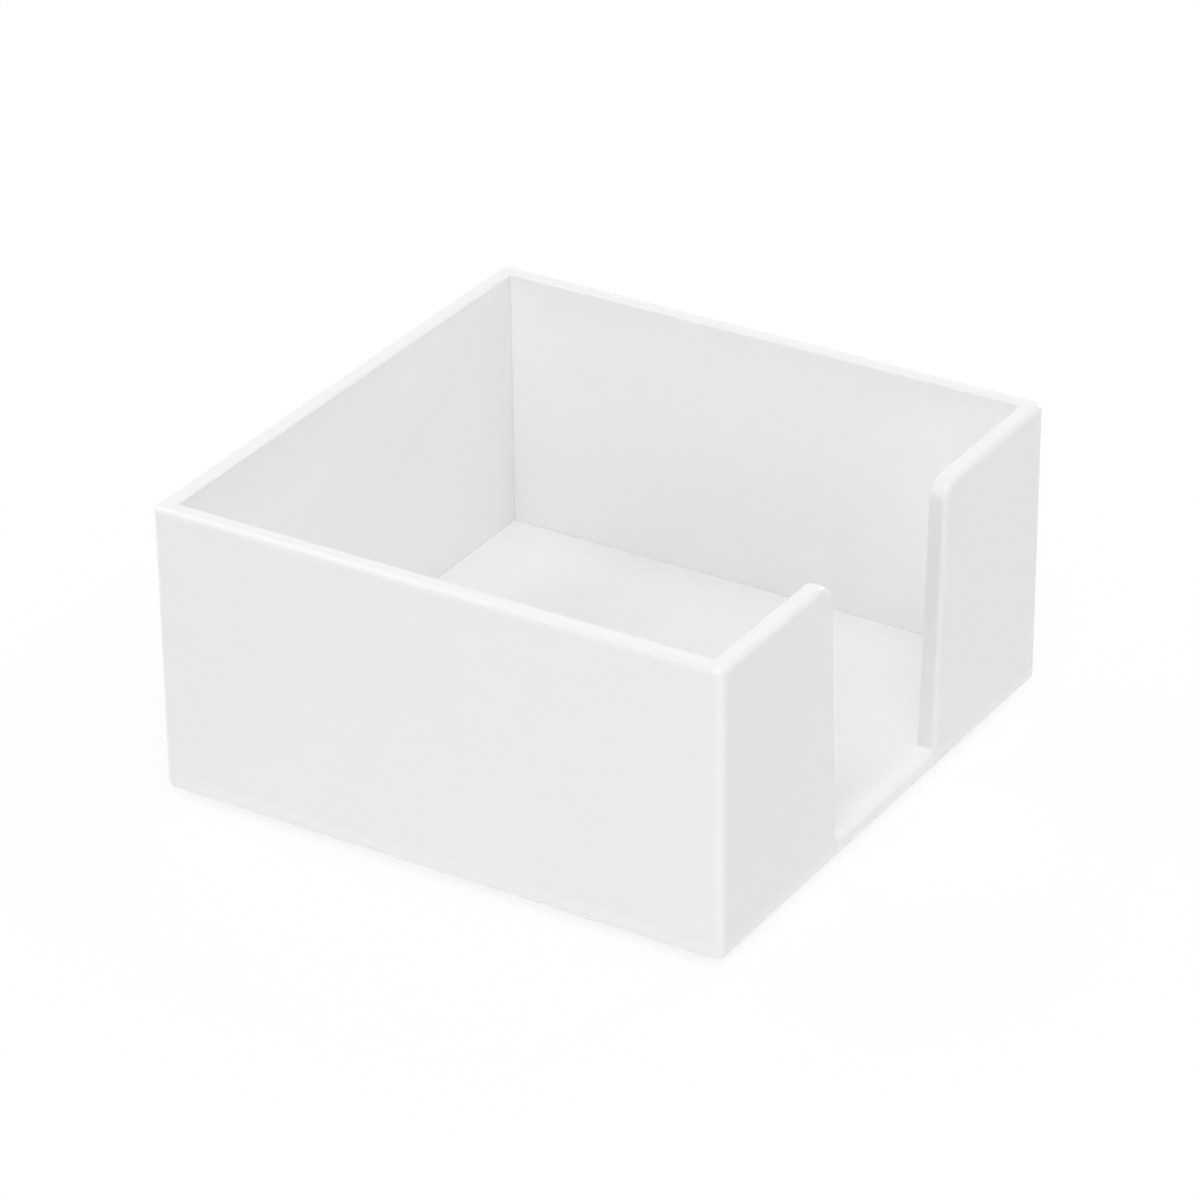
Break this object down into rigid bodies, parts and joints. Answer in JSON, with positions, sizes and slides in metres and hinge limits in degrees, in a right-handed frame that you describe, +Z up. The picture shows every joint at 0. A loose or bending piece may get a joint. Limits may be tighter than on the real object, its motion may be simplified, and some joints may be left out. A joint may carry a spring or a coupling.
{
  "type": "memo box",
  "caption": "Low square open-topped memo box in white opal acrylic, with mitred walls, a flared finger slot in the front wall and thin non-slip feet.",
  "frame": {"origin": "on the ground under the middle of the box", "axes": "+Z up, the finger slot faces -Y, +X to the right for someone who faces the slot"},
  "size_m": [0.1, 0.1, 0.0505],
  "materials": {
    "opal_acrylic": "polished white opal sheet",
    "foot_silicone": "satin, slightly translucent"
  },
  "bodies": {
    "root": {"base_panel": "opal_acrylic", "left_wall": "opal_acrylic", "right_wall": "opal_acrylic", "back_wall": "opal_acrylic", "front_left_cheek": "opal_acrylic", "front_right_cheek": "opal_acrylic", "foot_front_left": "foot_silicone", "foot_front_right": "foot_silicone", "foot_back_left": "foot_silicone", "foot_back_right": "foot_silicone"}
  },
  "joints": []
}
